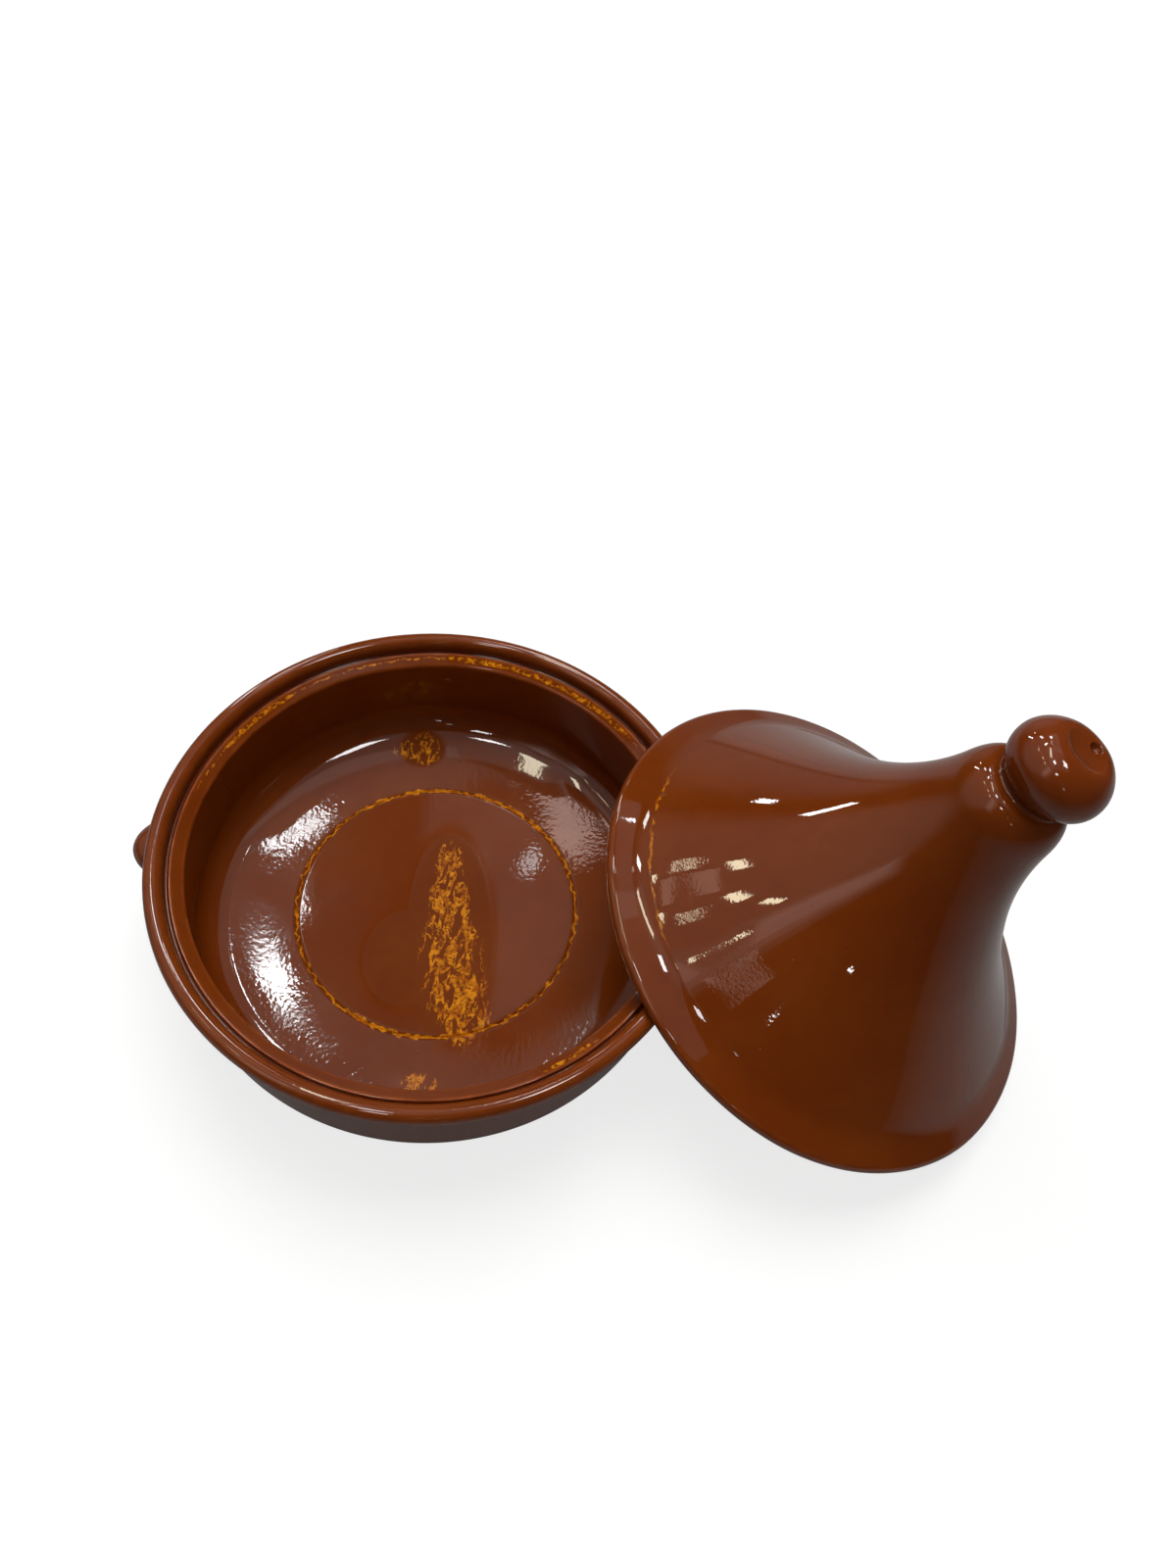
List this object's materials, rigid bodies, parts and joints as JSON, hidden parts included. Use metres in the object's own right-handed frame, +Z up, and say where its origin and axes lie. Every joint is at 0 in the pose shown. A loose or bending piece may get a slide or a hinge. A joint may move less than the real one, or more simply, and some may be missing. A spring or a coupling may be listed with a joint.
{
  "type": "tagine",
  "caption": "Glazed red-brown earthenware tagine: a low round dish with side lugs, and its bell-shaped lid with a ball knob leaning on the rim.",
  "frame": {"origin": "centre of the dish's flat foot, on the table", "axes": "+Z up along the dish's axis, +X towards the lid, which leans on the dish's rim on that side"},
  "size_m": [0.4772, 0.2798, 0.2174],
  "materials": {
    "dish_glaze": "glossy red-brown glaze with amber breaks",
    "lid_glaze": "glossy red-brown glaze, amber where it runs thin"
  },
  "bodies": {
    "dish_body": {"dish": "dish_glaze", "lug_left": "dish_glaze", "lug_right": "dish_glaze"},
    "lid_body": {"lid": "lid_glaze", "lid_knob": "lid_glaze"}
  },
  "joints": [
    {"name": "lid_lift", "type": "slide", "parent": "dish_body", "child": "lid_body", "axis": [0, 0, 1], "range_m": [0, 0.2]}
  ]
}
